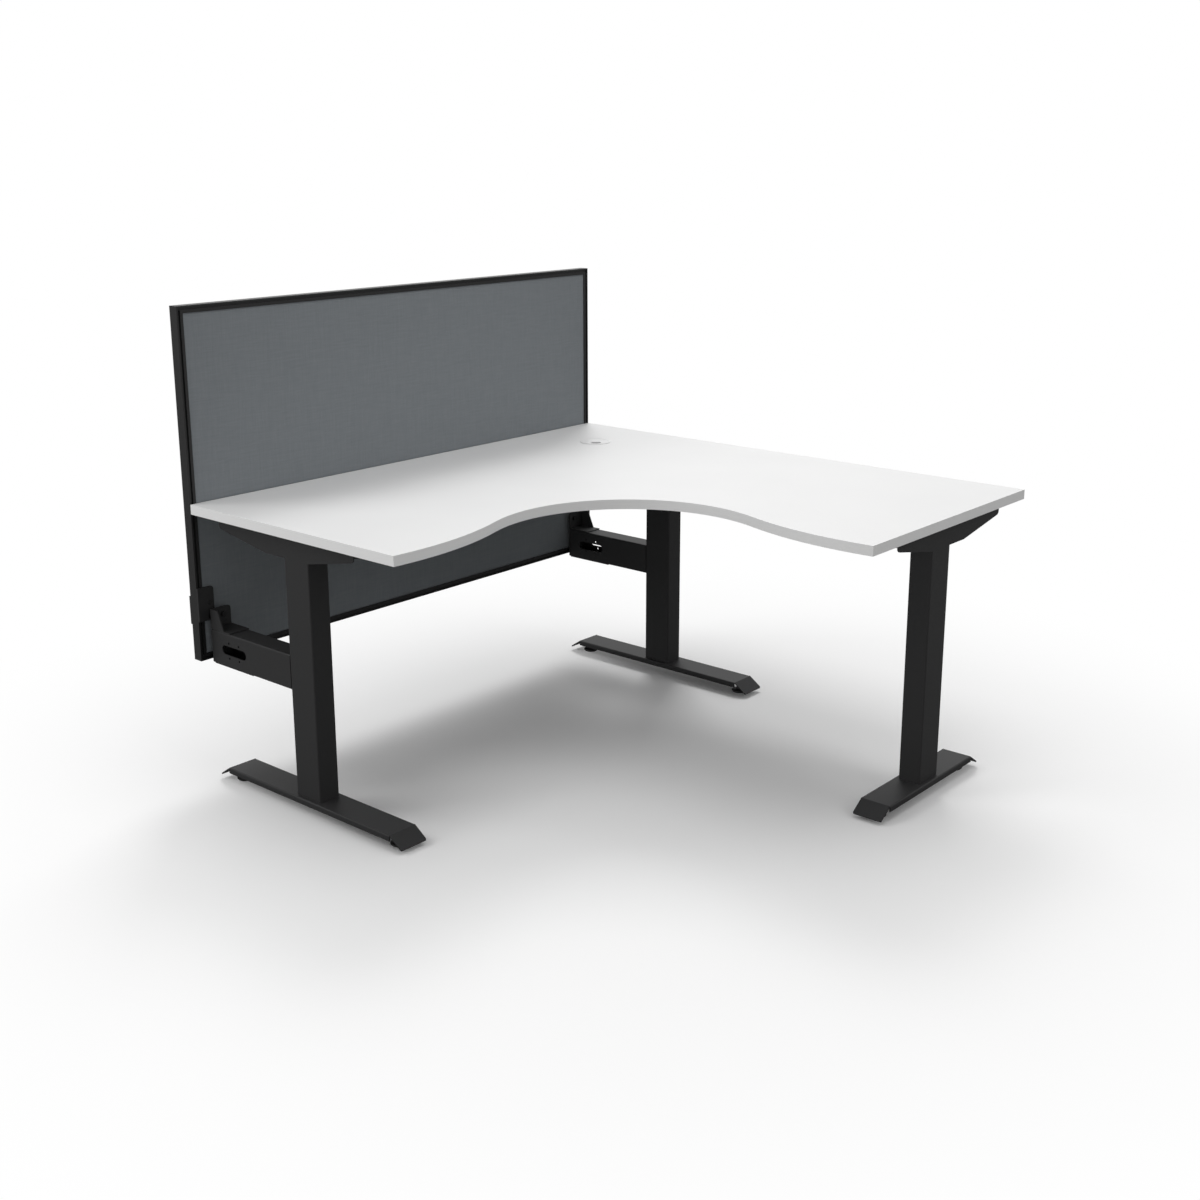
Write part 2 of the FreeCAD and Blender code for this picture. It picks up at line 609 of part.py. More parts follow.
# Screen frame: four mitred lengths of one grooved extrusion, outer face at x = 0, front at y = 0.
def bar(label, length, x, y, z, turn):
    made = body(label)
    section = sketch(made, "XY_Plane")
    deep, wide = "screen_deep", "face_wide"
    groove = "face_rim + face_groove"
    mouth = "face_wide - lip_grip"
    loop(section, [
        ("0", "0"), ("face_rim", "0"), ("face_rim", "groove_deep"), (groove, "groove_deep"), (groove, "0"),
        (wide, "0"), (wide, "lip_thick"), (mouth, "lip_thick"), (mouth, deep + " - lip_thick"),
        (wide, deep + " - lip_thick"), (wide, deep), (groove, deep), (groove, deep + " - groove_deep"),
        ("face_rim", deep + " - groove_deep"), ("face_rim", deep), ("0", deep),
    ])
    core = "groove_deep + bar_wall"
    loop(section, [
        ("bar_wall", core), (mouth + " - bar_wall", core),
        (mouth + " - bar_wall", "%s - (%s)" % (deep, core)), ("bar_wall", "%s - (%s)" % (deep, core)),
    ])
    pad(made, section, length)
    mitre = sketch(made, "XZ_Plane")
    over = "(2 * face_wide)"
    loop(mitre, [("0", "0"), ("0", "0 - face_wide"), (over, "0 - face_wide"), (over, over)])
    loop(mitre, [("0", length), (over, "%s - %s" % (length, over)), (over, "%s + face_wide" % length),
                 ("0", "%s + face_wide" % length)])
    pocket(made, mitre, "4 * screen_deep")
    place(made, x, y, z, turn)
    nodes.append(made)


screen_top = "screen_low + screen_high"
bar("screen_stile_a", "screen_high", "screen_front", "0 - wing_length", "screen_low",
    axes((0, 1, 0), (-1, 0, 0), (0, 0, 1)))
bar("screen_stile_b", "screen_high", "screen_front", "0", screen_top,
    axes((0, -1, 0), (-1, 0, 0), (0, 0, -1)))
bar("screen_rail_top", "wing_length", "screen_front", "0 - wing_length", screen_top,
    axes((0, 0, -1), (-1, 0, 0), (0, 1, 0)))
bar("screen_rail_bottom", "wing_length", "screen_front", "0", "screen_low",
    axes((0, 0, 1), (-1, 0, 0), (0, -1, 0)))

# Corner keys: one angle in the hollow of each mitred corner.
key_wide = "face_wide - lip_grip - 2 * bar_wall - 2 * key_play"
key_deep = "screen_deep - 2 * groove_deep - 2 * bar_wall - 2 * key_play"
key_front = "screen_back + groove_deep + bar_wall + key_play"
keys = []
for corner, low_y, low_z in (("a_low", True, True), ("b_low", False, True), ("a_high", True, False),
                             ("b_high", False, False)):
    edge = "bar_wall + key_play"
    y_low = "%s - wing_length" % edge if low_y else "0 - (%s) - (%s)" % (edge, key_wide)
    y_long = y_low if low_y else "0 - (%s) - key_leg" % edge
    z_low = "screen_low + %s" % edge if low_z else "%s - (%s) - (%s)" % (screen_top, edge, key_wide)
    z_long = z_low if low_z else "%s - (%s) - key_leg" % (screen_top, edge)
    upright = block("corner_key_%s_upright" % corner, key_deep, key_wide, "key_leg")
    place(upright, key_front, y_low, z_long)
    level = block("corner_key_%s_level" % corner, key_deep, "key_leg", key_wide)
    place(level, key_front, y_long, z_low)
    keys.append(join("corner_key_" + corner, [upright, level]))
nodes.append(group("corner_keys", keys))

# Panel: core board with fabric on both faces, held under the frame's lips.
panel_edge = "face_wide - lip_grip + panel_play"
panel_wide = "wing_length - 2 * (%s)" % panel_edge
panel_high = "screen_high - 2 * (%s)" % panel_edge
ENDS = {"a": (1, "0 - wing_length", "end_inset - wing_length"), "b": (-1, "0", "0 - corner_inset")}


def inward(end, distance):
    """Y of a line at a distance from one end of the screen."""
    sign, edge, arm_y = ENDS[end]
    return "%s + %s" % (edge, distance) if sign > 0 else "%s - (%s)" % (edge, distance)


def angle_bolt_y(end):
    sign, edge, arm_y = ENDS[end]
    return "%s %s angle_bolt_shift" % (arm_y, "+" if sign > 0 else "-")


BOLT_RISES = ["clamp_bolt_low", "clamp_bolt_low + clamp_bolt_step"]
ANGLE_RISE = "arm_top_height + angle_bolt_rise"


def panel(label, back, thick, angle_hole):
    sheet_ = block(label + "_sheet", thick, panel_wide, panel_high)
    place(sheet_, back, "%s - wing_length" % panel_edge, "screen_low + %s" % panel_edge)
    tools = []
    for end in ENDS:
        for index, rise in enumerate(BOLT_RISES):
            hole = rod("%s_hole_%s%d" % (label, end, index), "bolt_dia / 2 + hole_play", "2 * screen_deep")
            place(hole, "screen_back - screen_deep / 2", inward(end, "clamp_bolt_inset"), rise, ALONG_X)
            tools.append(hole)
        if angle_hole is not None:
            radius, length = angle_hole
            hole = rod("%s_angle_hole_%s" % (label, end), radius, length)
            place(hole, "panel_front", angle_bolt_y(end), ANGLE_RISE, AGAINST_X)
            tools.append(hole)
    nodes.append(take(label, sheet_, tools))


panel("screen_core", "panel_back + fabric_thick", "panel_front - panel_back - 2 * fabric_thick",
      ("insert_dia / 2 + stud_play", "fabric_thick + insert_long"))
panel("screen_fabric_front", "panel_front - fabric_thick", "fabric_thick",
      ("bolt_dia / 2 + hole_play", "2 * fabric_thick"))
panel("screen_fabric_back", "panel_back", "fabric_thick", None)

# Screen arms, one on each left-hand column, with the parts that hold the screen.
arm_screws = []
clamp_bolts = []
clamp_nuts = []
angle_bolts = []
spacers = []
inserts = []
for end, (sign, edge, arm_y) in ENDS.items():
    arm_length = "leg_setback - tube_deep / 2 - arm_start"
    arm = body("arm_%s_tube" % end)
    section = sketch(arm, "XY_Plane")
    tube_section(section, "tube_wide / 2", "tube_deep / 2")
    pad(arm, section, arm_length)
    cuts = sketch(arm, "YZ_Plane")
    centre = "slot_middle - arm_start"
    loop(cuts, slot("0", centre, "(slot_long - slot_high) / 2", "slot_high / 2"))
    for rise in ("slot_hole_rise / 2", "0 - slot_hole_rise / 2"):
        for step in ("slot_hole_step / 2", "0 - slot_hole_step / 2"):
            ring(cuts, rise, "%s + %s" % (centre, step), "slot_hole_dia / 2")
    pocket(arm, cuts, "3 * tube_wide")
    base_spots = ["arm_screw_first", "arm_screw_first + base_screw_step"]
    bores = sketch(arm, "XZ_Plane", "tube_deep / 2")
    for spot in base_spots:
        ring(bores, "0", spot, "arm_screw_dia / 2 + stud_play")
    pocket(arm, bores, "4 * tube_wall")
    place(arm, "arm_start", arm_y, "arm_top_height - tube_deep / 2", LYING)

    # End cap: a plate over the arm's open end, with a plug that fills the tube behind it.
    cap = body("arm_%s_cap" % end)
    plate = sketch(cap, "XY_Plane")
    half_y, half_z = "tube_wide / 2", "tube_deep / 2"
    loop(plate, oblong("0 - " + half_y, "0 - " + half_z, half_y, half_z, "tube_round"))
    pad(cap, plate, "end_plate")
    plug = sketch(cap, "XY_Plane")
    half_y, half_z = ("(%s / 2 - tube_wall - plug_play)" % side for side in ("tube_wide", "tube_deep"))
    loop(plug, oblong("0 - " + half_y, "0 - " + half_z, half_y, half_z, "(tube_round - tube_wall)"))
    pad(cap, plug, "end_plate + plug_deep")
    place(cap, "arm_end", arm_y, "arm_top_height - tube_deep / 2", LYING)
    base = block("arm_%s_base_sheet" % end, "base_long", "tube_wide - 2 * tube_round", "base_thick")
    place(base, "arm_start", "%s - tube_wide / 2 + tube_round" % arm_y, "arm_low - base_thick")
    base_tools = []
    for index, spot in enumerate(base_spots):
        label = "arm_screw_%s_base%d" % (end, index)
        x = "arm_start + %s" % spot
        shank = rod(label + "_shank", "arm_screw_dia / 2", "base_thick + tube_wall + arm_screw_tail")
        place(shank, x, arm_y, "arm_low - base_thick")
        head = rod(label + "_head", "arm_screw_head / 2", "arm_screw_high")
        place(head, x, arm_y, "arm_low - base_thick - arm_screw_high")
        arm_screws.append(join(label, [shank, head]))
        hole = rod(label + "_hole", "arm_screw_dia / 2 + hole_play", "4 * base_thick")
        place(hole, x, arm_y, "arm_low - 2 * base_thick")
        base_tools.append(hole)
    nodes.append(arm)
    nodes.append(cap)
    nodes.append(take("arm_%s_base" % end, base, base_tools))

    # Arm angle: plate on the arm, upright towards the screen, gusset on the side of the screen's end.
    angle = body("arm_%s_angle" % end)
    plate = sketch(angle, "XY_Plane")
    half = "tube_wide / 2"
    loop(plate, [("0", "0 - " + half), ("angle_long", "0 - " + half), ("angle_long", half), ("0", half)])
    pad(angle, plate, "angle_sheet")
    upright = sketch(angle, "YZ_Plane")
    if sign > 0:
        loop(upright, [
            ("0 - " + half, "0"), (half, "0"), (half, "angle_high - angle_round", "angle_round", "left"),
            (half + " - angle_round", "angle_high"), ("0 - " + half, "angle_high"),
        ])
        ring(upright, "angle_bolt_shift", "angle_bolt_rise", "bolt_dia / 2 + hole_play")
    else:
        loop(upright, [
            ("0 - " + half, "0"), (half, "0"), (half, "angle_high"),
            ("angle_round - " + half, "angle_high", "angle_round", "left"),
            ("0 - " + half, "angle_high - angle_round"),
        ])
        ring(upright, "0 - angle_bolt_shift", "angle_bolt_rise", "bolt_dia / 2 + hole_play")
    pad(angle, upright, "angle_sheet")
    side = sketch(angle, "XZ_Plane", "%s(tube_wide - angle_sheet) / 2" % ("" if sign > 0 else "-1 * "))
    loop(side, [("0", "0"), ("gusset_low", "0"), ("gusset_high", "angle_high"), ("0", "angle_high")])
    pad(angle, side, "angle_sheet", symmetric=True)
    place(angle, "arm_end", arm_y, "arm_top_height")
    nodes.append(angle)

    # Clamp plates on both faces of the frame, with two bolts through them.
    for name, back, low, high in (("front", "screen_front", "front_plate_low", "front_plate_high"),
                                  ("rear", "screen_back - clamp_thick", "rear_plate_low", "rear_plate_high")):
        clamp = body("clamp_%s_%s" % (end, name))
        face = sketch(clamp, "YZ_Plane")
        if sign > 0:
            loop(face, [
                ("0", "0"), ("clamp_wide", "0"),
                ("clamp_wide", high + " - plate_round", "plate_round", "left"),
                ("clamp_wide - plate_round", high), ("0", high),
            ])
        else:
            loop(face, [
                ("0 - clamp_wide", "0"), ("0", "0"), ("0", high),
                ("plate_round - clamp_wide", high, "plate_round", "left"),
                ("0 - clamp_wide", high + " - plate_round"),
            ])
        spot = "clamp_bolt_inset" if sign > 0 else "0 - clamp_bolt_inset"
        for rise in BOLT_RISES:
            ring(face, spot, "%s - %s" % (rise, low), "bolt_dia / 2 + hole_play")
        pad(clamp, face, "clamp_thick")
        if name == "front":
            seats = sketch(clamp, "YZ_Plane", "clamp_thick")
            for rise in BOLT_RISES:
                ring(seats, spot, "%s - %s" % (rise, low), "bolt_head / 2 + hole_play")
            pocket(clamp, seats, "2 * clamp_head_high")
        place(clamp, back, edge, low)
        nodes.append(clamp)
    for index, rise in enumerate(BOLT_RISES):
        label = "clamp_bolt_%s%d" % (end, index)
        y = inward(end, "clamp_bolt_inset")
        grip = "screen_deep + 2 * clamp_thick"
        shank = rod(label + "_shank", "bolt_dia / 2", grip + " + bolt_nut_high + bolt_tail")
        place(shank, "screen_front + clamp_thick", y, rise, AGAINST_X)
        head = rod(label + "_head", "bolt_head / 2", "clamp_head_high")
        place(head, "screen_front + clamp_thick", y, rise, AGAINST_X)
        clamp_bolts.append(join(label, [shank, head]))
        label = "clamp_nut_%s%d" % (end, index)
        nut = hexagon(label + "_hex", "bolt_nut_flats", "bolt_nut_high")
        place(nut, "screen_back - clamp_thick", y, rise, AGAINST_X)
        thread = rod(label + "_thread", "bolt_dia / 2 + stud_play", "3 * bolt_nut_high")
        place(thread, "screen_back", y, rise, AGAINST_X)
        clamp_nuts.append(take(label, nut, [thread]))

    # Angle bolt: from the upright through a spacer into an insert in the screen's core.
    y = angle_bolt_y(end)
    label = "angle_bolt_" + end
    shank = rod(label + "_shank", "bolt_dia / 2", "arm_end + angle_sheet - panel_front + insert_long")
    place(shank, "arm_end + angle_sheet", y, ANGLE_RISE, AGAINST_X)
    head = rod(label + "_head", "bolt_head / 2", "bolt_head_high")
    place(head, "arm_end + angle_sheet", y, ANGLE_RISE, ALONG_X)
    angle_bolts.append(join(label, [shank, head]))
    label = "spacer_" + end
    outside = rod(label + "_outside", "spacer_dia / 2", "arm_end - panel_front")
    place(outside, "panel_front", y, ANGLE_RISE, ALONG_X)
    inside = rod(label + "_inside", "bolt_dia / 2 + hole_play", "2 * arm_end - 2 * panel_front")
    place(inside, "2 * panel_front", y, ANGLE_RISE, ALONG_X)
    spacers.append(take(label, outside, [inside]))
    label = "insert_" + end
    outside = rod(label + "_outside", "insert_dia / 2", "insert_long")
    place(outside, "panel_front - fabric_thick", y, ANGLE_RISE, AGAINST_X)
    inside = rod(label + "_inside", "bolt_dia / 2 + stud_play", "2 * insert_long")
    place(inside, "panel_front", y, ANGLE_RISE, AGAINST_X)
    inserts.append(take(label, outside, [inside]))

nodes.append(group("arm_screws", arm_screws))
nodes.append(group("clamp_bolts", clamp_bolts))
nodes.append(group("clamp_nuts", clamp_nuts))
nodes.append(group("angle_bolts", angle_bolts))
nodes.append(group("spacers", spacers))
nodes.append(group("inserts", inserts))

doc.recompute()
for thing in doc.Objects:
    if "Invalid" in thing.State or "Error" in thing.State:
        raise RuntimeError("not solved: %s" % thing.Label)
os.makedirs("parts", exist_ok=True)
for node in nodes:
    shape = node.Shape
    if shape.isNull() or not shape.isValid():
        raise RuntimeError("bad shape: %s" % node.Label)
    shape.exportStep("parts/%s.step" % node.Label)
    box = shape.BoundBox
    print("%-22s solids %2d  x %8.2f %8.2f  y %8.2f %8.2f  z %8.2f %8.2f" % (
        node.Label, len(shape.Solids), box.XMin, box.XMax, box.YMin, box.YMax, box.ZMin, box.ZMax))
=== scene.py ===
# %% [markdown]
# # Corner workstation: finishes, cloth, floor, light and camera
# The desk's board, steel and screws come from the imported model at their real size, so this lesson leaves
# their shapes alone. It gives every piece a finish, weaves the screen's two cloths, and then sets up
# the floor, the light and the camera of a plain product picture.

import math

import bmesh
import bpy
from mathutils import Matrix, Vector


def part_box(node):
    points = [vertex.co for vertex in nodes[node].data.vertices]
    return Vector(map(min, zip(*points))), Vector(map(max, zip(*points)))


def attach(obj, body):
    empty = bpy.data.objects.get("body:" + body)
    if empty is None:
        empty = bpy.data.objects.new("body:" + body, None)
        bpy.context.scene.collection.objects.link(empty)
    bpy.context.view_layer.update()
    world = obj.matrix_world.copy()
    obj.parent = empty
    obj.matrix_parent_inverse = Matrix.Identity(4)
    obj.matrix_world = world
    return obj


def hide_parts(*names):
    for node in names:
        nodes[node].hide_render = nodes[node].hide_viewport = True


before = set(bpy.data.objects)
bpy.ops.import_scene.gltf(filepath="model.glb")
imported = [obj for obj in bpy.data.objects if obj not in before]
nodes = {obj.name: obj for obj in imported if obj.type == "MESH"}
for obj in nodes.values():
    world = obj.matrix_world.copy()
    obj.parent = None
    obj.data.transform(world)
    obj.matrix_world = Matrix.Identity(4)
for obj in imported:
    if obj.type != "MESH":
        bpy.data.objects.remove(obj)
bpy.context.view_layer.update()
MM = 0.001

# %% [markdown]
# ## Shader arithmetic
# A finish is a small graph of nodes. Writing one by hand takes a line for every node and link, which hides
# the idea behind it. So a flow wraps one output socket, and sums and products of flows add the Math nodes.
# Every other node comes from one method, which sets the node's own options first and then its sockets. The
# world's light is such a graph too, so it shares that method with the finishes.


# %% Flow and Graph
class Flow:
    """One output socket of a graph. Arithmetic on flows adds Math nodes."""

    def __init__(self, graph, socket):
        self.graph, self.socket = graph, socket

    def math(self, operation, first, second=0.0):
        return self.graph.add("ShaderNodeMath", {"operation": operation}, {0: first, 1: second})

    def __add__(self, other):
        return self.math("ADD", self, other)

    def __mul__(self, other):
        return self.math("MULTIPLY", self, other)

    __radd__, __rmul__ = __add__, __mul__

    def sine(self):
        return self.math("SINE", self)

    def between(self, low, high):
        """Value that goes from low to high as the flow goes from 0 to 1."""
        return low + self * (high - low)


class Graph:
    """A node tree, with one method that makes a node and plugs its sockets."""

    def __init__(self, tree):
        self.tree = tree

    def plug(self, value, socket):
        if isinstance(value, Flow):
            self.tree.links.new(value.socket, socket)
        else:
            socket.default_value = value

    def add(self, kind, settings=None, sockets=None, out=0):
        node = self.tree.nodes.new(kind)
        for name, value in (settings or {}).items():
            setattr(node, name, value)
        for name, value in (sockets or {}).items():
            self.plug(value, node.inputs[name])
        return Flow(self, node.outputs[out])


print("shader arithmetic ready")

# %% [markdown]
# ## What a finish is made of
# Every finish here is one Principled shader whose colour, roughness and bump change over the surface. The
# change comes from noise on Object coordinates, which are metres on the piece itself: the grain then has its
# real size and stays on the piece when a joint moves it. Noise that is stretched along one axis gives lines
# and threads.

# %% Finish
# Sockets of a Mix node for colours. They go by number, because other sockets of the node have the same names.
MIX_SHARE, MIX_LOW, MIX_HIGH, MIX_COLOUR = 0, 6, 7, 2


class Finish(Graph):
    """A node material round one Principled shader."""

    def __init__(self, name):
        self.material = bpy.data.materials.new(name)
        self.material.use_nodes = True
        super().__init__(self.material.node_tree)
        self.shader = self.tree.nodes["Principled BSDF"]
        self.place = self.add("ShaderNodeTexCoord", out="Object")

    def blend(self, share, low, high):
        """Colour between two others."""
        sockets = {MIX_SHARE: share, MIX_LOW: low, MIX_HIGH: high}
        return self.add("ShaderNodeMix", {"data_type": "RGBA"}, sockets, out=MIX_COLOUR)

    def grain(self, scale, stretch=(1, 1, 1), detail=2.0):
        """Noise from 0 to 1, with so many grains to the metre. A small stretch draws it out along an axis."""
        spot = self.add("ShaderNodeMapping", None, {"Vector": self.place, "Scale": stretch})
        return self.add("ShaderNodeTexNoise", None, {"Vector": spot, "Scale": scale, "Detail": detail})

    def along(self, axis):
        """Distance along one axis, in metres."""
        return self.add("ShaderNodeSeparateXYZ", None, {0: self.place}, out=axis)

    def relief(self, height, depth):
        """Bump of a given depth in metres."""
        bump = self.add("ShaderNodeBump", None, {"Height": height, "Distance": depth, "Strength": 1.0})
        self.surface({"Normal": bump})

    def surface(self, values):
        for name, value in values.items():
            self.plug(value, self.shader.inputs[name])


def grey(level, tint=(1.0, 1.0, 1.0)):
    """Colour of a given lightness, a little warmer or cooler by its tint."""
    return tuple(level * part for part in tint) + (1.0,)


print("finish ready")

# %% [markdown]
# ## White board, edge band and grommet
# The top is chipboard faced with white melamine. Its skin is satin, with a fine pearl that can be felt more
# than seen, and very faint clouds in the white. The edge band is a strip of plastic with marks of the
# trimming tool that run along it. Its colour is set whiter than the board's as painted light, which brightens
# its upright faces where they get less light. The grommet is moulded plastic, so it is smoother. Noise does
# all of this, because none of it repeats.

# %% White finishes
PEARL_SCALE = 900
CLOUD_SCALE = 4
CLOUD_SHARE = 0.7
TRIM_SCALE = 60
TRIM_STRETCH = (0.2, 0.2, 14)
WHITE_SPARK_SCALE = 1600
PEARL_DEPTH = 0.03 * MM
TRIM_DEPTH = 0.04 * MM
WHITE_SPARK_DEPTH = 0.02 * MM


def white_board():
    made = Finish("white_melamine")
    pearl = made.grain(PEARL_SCALE)
    cloud = made.grain(CLOUD_SCALE)
    tone = cloud * CLOUD_SHARE + pearl * (1 - CLOUD_SHARE)
    made.surface({
        "Base Color": made.blend(tone, grey(0.77), grey(0.83, (1.0, 1.0, 0.995))),
        "Roughness": pearl.between(0.44, 0.58),
    })
    made.relief(pearl, PEARL_DEPTH)
    return made


def edge_plastic():
    made = Finish("white_edge_band")
    trim = made.grain(TRIM_SCALE, TRIM_STRETCH)
    made.surface({
        # Whiter than the board: painted light that brightens the band's upright faces, which get less light.
        "Base Color": made.blend(trim, grey(0.90), grey(0.95, (1.0, 1.0, 0.99))),
        "Roughness": trim.between(0.42, 0.58),
    })
    made.relief(trim, TRIM_DEPTH)
    return made


def white_plastic():
    made = Finish("white_moulded_plastic")
    spark = made.grain(WHITE_SPARK_SCALE)
    made.surface({
        "Base Color": made.blend(spark, grey(0.78), grey(0.84)),
        "Roughness": spark.between(0.3, 0.45),
    })
    made.relief(spark, WHITE_SPARK_DEPTH)
    return made


print("white finishes ready")

# %% [markdown]
# ## Black powder coat, black aluminium and black plastic
# The steel legs and arms are powder coated: the powder melts into a skin with the dimples of an orange peel,
# satin rather than glossy. Most of what the eye sees on such a black is the room's reflection, so the
# colour itself is kept very dark and the dimples and the roughness do the work. The screen's frame is an
# extrusion, and the die leaves faint lines along each bar. The glides and the arms' end caps are moulded.

# %% Black finishes
PEEL_SCALE = 520
SPECK_SCALE = 2200
SPECK_ON_PEEL = 0.4
DIE_LINE_SCALE = 420
SPECK_ON_LINES = 0.3
BLACK_SPARK_SCALE = 1400
PEEL_DEPTH = 0.05 * MM
DIE_LINE_DEPTH = 0.03 * MM
BLACK_SPARK_DEPTH = 0.04 * MM


def black_powder_coat():
    made = Finish("black_powder_coat")
    peel = made.grain(PEEL_SCALE, detail=3.0)
    speck = made.grain(SPECK_SCALE)
    made.surface({
        "Base Color": made.blend(speck, grey(0.021), grey(0.033, (1.0, 1.0, 1.03))),
        "Roughness": peel.between(0.46, 0.62),
        "Specular IOR Level": 0.21,
    })
    made.relief(peel + speck * SPECK_ON_PEEL, PEEL_DEPTH)
    return made


def black_aluminium(name, stretch):
    made = Finish(name)
    die_lines = made.grain(DIE_LINE_SCALE, stretch)
    speck = made.grain(SPECK_SCALE)
    made.surface({
        "Base Color": made.blend(speck, grey(0.006), grey(0.014, (1.0, 1.0, 1.03))),
        "Roughness": die_lines.between(0.36, 0.52),
        "Specular IOR Level": 0.34,
    })
    made.relief(die_lines + speck * SPECK_ON_LINES, DIE_LINE_DEPTH)
    return made


def black_plastic():
    made = Finish("black_moulded_plastic")
    spark = made.grain(BLACK_SPARK_SCALE)
    made.surface({
        "Base Color": made.blend(spark, grey(0.008), grey(0.018)),
        "Roughness": spark.between(0.45, 0.65),
    })
    made.relief(spark, BLACK_SPARK_DEPTH)
    return made


print("black finishes ready")

# %% [markdown]
# ## Bare metal and board
# Nuts, screws and inserts are zinc-plated or blackened steel, the corner keys are cast aluminium, and the
# screen's core is plain chipboard. They are mostly hidden, but they show when the part is taken apart.
# Metal keeps its shine from the Metallic value, and a fine noise breaks up its roughness.

# %% Metal and board finishes
STAIN_SCALE = 260
STAIN_ROUGHNESS = 0.2
STAIN_DEPTH = 0.02 * MM
CHIP_SCALE = 160
CHIP_STRETCH = (1, 0.4, 0.4)
CHIP_DARK = (0.36, 0.25, 0.15, 1.0)
CHIP_LIGHT = (0.66, 0.52, 0.36, 1.0)
CHIP_DEPTH = 0.3 * MM


def metal(name, dark, light, smooth):
    """Bare metal. Its stains are rougher than the given roughness."""
    made = Finish(name)
    stain = made.grain(STAIN_SCALE, detail=4.0)
    made.surface({
        "Base Color": made.blend(stain, dark, light),
        "Metallic": 1.0,
        "Roughness": stain.between(smooth, smooth + STAIN_ROUGHNESS),
    })
    made.relief(stain, STAIN_DEPTH)
    return made


def core_board():
    made = Finish("chipboard")
    chip = made.grain(CHIP_SCALE, CHIP_STRETCH, detail=4.0)
    made.surface({
        "Base Color": made.blend(chip, CHIP_DARK, CHIP_LIGHT),
        "Roughness": chip.between(0.75, 0.95),
    })
    made.relief(chip, CHIP_DEPTH)
    return made


print("metal and board finishes ready")

# %% [markdown]
# ## Grey screen cloth
# The screen is covered with a plain-woven upholstery cloth. Seen close, threads cross over and under each
# other; from a few steps away only the thicker and thinner threads show, as short faint streaks both ways.
# Two sine waves across the cloth, multiplied, give the over-and-under of the threads, and noise that is
# drawn out along each thread gives the streaks.

# %% Cloth finish
THREAD_PITCH = 1.1 * MM
THREAD_WAVE = math.pi / THREAD_PITCH
STREAK_SCALE = 330
UPRIGHT_STREAK = (1, 1, 0.06)
LEVEL_STREAK = (1, 0.06, 1)
STREAK_TONE, WEAVE_TONE, LOWEST_TONE = 0.8, 0.12, 0.1
STREAK_HEIGHT = 0.8
CLOTH_DEPTH = 0.18 * MM
CLOTH_DARK = (0.170, 0.185, 0.197, 1.0)
CLOTH_LIGHT = (0.286, 0.308, 0.327, 1.0)


def grey_fabric():
    made = Finish("grey_woven_cloth")
    across = (made.along("Y") * THREAD_WAVE).sine()
    up = (made.along("Z") * THREAD_WAVE).sine()
    weave = across * up
    warp = made.grain(STREAK_SCALE, UPRIGHT_STREAK, detail=3.0)
    weft = made.grain(STREAK_SCALE, LEVEL_STREAK, detail=3.0)
    streak = warp * 0.5 + weft * 0.5
    tone = streak * STREAK_TONE + weave * WEAVE_TONE + LOWEST_TONE
    made.surface({
        "Base Color": made.blend(tone, CLOTH_DARK, CLOTH_LIGHT),
        "Roughness": streak.between(0.85, 0.95),
        "Specular IOR Level": 0.2,
        "Sheen Weight": 0.08,
        "Sheen Roughness": 0.5,
    })
    made.relief(weave + streak * STREAK_HEIGHT, CLOTH_DEPTH)
    return made


print("cloth finish ready")

# %% [markdown]
# ## Dressing the CAD pieces
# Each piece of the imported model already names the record's material slot. The loop below swaps that plain
# placeholder for the finish of the same name. The frame's bars run in two directions, so the rails take a
# copy of the black aluminium whose die lines run the other way.

# %% Assign the finishes
UPRIGHT_LINES = (1, 1, 0.01)
LEVEL_LINES = (1, 0.01, 1)
FINISHES = {
    "white_board": white_board(),
    "edge_plastic": edge_plastic(),
    "white_plastic": white_plastic(),
    "black_powder_coat": black_powder_coat(),
    "black_aluminium": black_aluminium("black_aluminium_stile", UPRIGHT_LINES),
    "plain_aluminium": metal("plain_aluminium", grey(0.5), grey(0.72), smooth=0.35),
    "black_steel": metal("black_steel", grey(0.02), grey(0.05), smooth=0.4),
    "zinc_steel": metal("zinc_steel", grey(0.5), grey(0.68, (1.0, 1.0, 0.96)), smooth=0.25),
    "black_plastic": black_plastic(),
    "core_board": core_board(),
    "grey_fabric": grey_fabric(),
}
rail_black = black_aluminium("black_aluminium_rail", LEVEL_LINES)
for name, piece in nodes.items():
    for place in piece.material_slots:
        slot = place.material.name
        finish = rail_black if name.startswith("screen_rail") else FINISHES[slot]
        place.material = finish.material
print("dressed %d pieces" % len(nodes))

# %% [markdown]
# ## The screen's cloths
# On each face of the screen one cloth is stretched over the core board and trapped under the frame's lip.
# It lies flat in the middle and rolls down into the frame along its edges. A grid would do for the flat
# part, but the rolled edge needs loops close to the rim, so the sheet starts as one face, and a few insets
# step towards the middle and lift as they go.

# %% Stretch the cloths
# Each roll step is an inset and a height above the core, in millimetres.
ROLL_STEPS = [(0.0, 0.0), (6.0, 0.1), (2.0, 0.5), (2.5, 0.85), (4.0, 1.05), (8.0, 1.1)]
GRID_CUTS = 24


